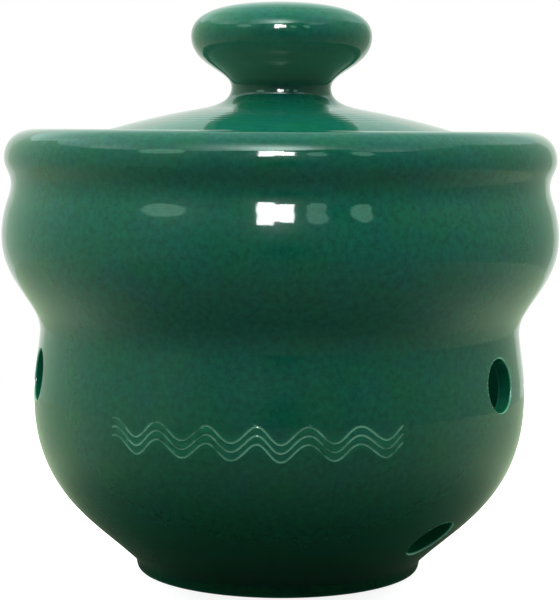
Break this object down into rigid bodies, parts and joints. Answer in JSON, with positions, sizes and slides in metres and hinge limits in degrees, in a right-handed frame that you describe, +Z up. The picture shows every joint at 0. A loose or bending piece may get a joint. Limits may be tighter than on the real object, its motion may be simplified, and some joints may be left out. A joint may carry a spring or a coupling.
{
  "type": "potato storage pot",
  "caption": "Round glazed stoneware storage pot with a rounded belly, a wide upper bulge, a rolled rim, round air vents through its wall and a loose domed lid with a mushroom knob.",
  "frame": {"origin": "centre of the foot, on the surface that the pot stands on", "axes": "+Z up along the turning axis of pot and lid, -Y towards the front of the pot, +X to its right as seen from the front"},
  "size_m": [0.24, 0.24, 0.2452],
  "materials": {
    "glaze": "glossy dark green fired glaze, slightly mottled"
  },
  "bodies": {
    "pot": {"pot_body": "glaze"},
    "lid": {"lid": "glaze"}
  },
  "joints": [
    {"name": "lid_lift", "type": "slide", "parent": "pot", "child": "lid", "axis": [0, 0, 1], "range_m": [0, 0.12]}
  ]
}
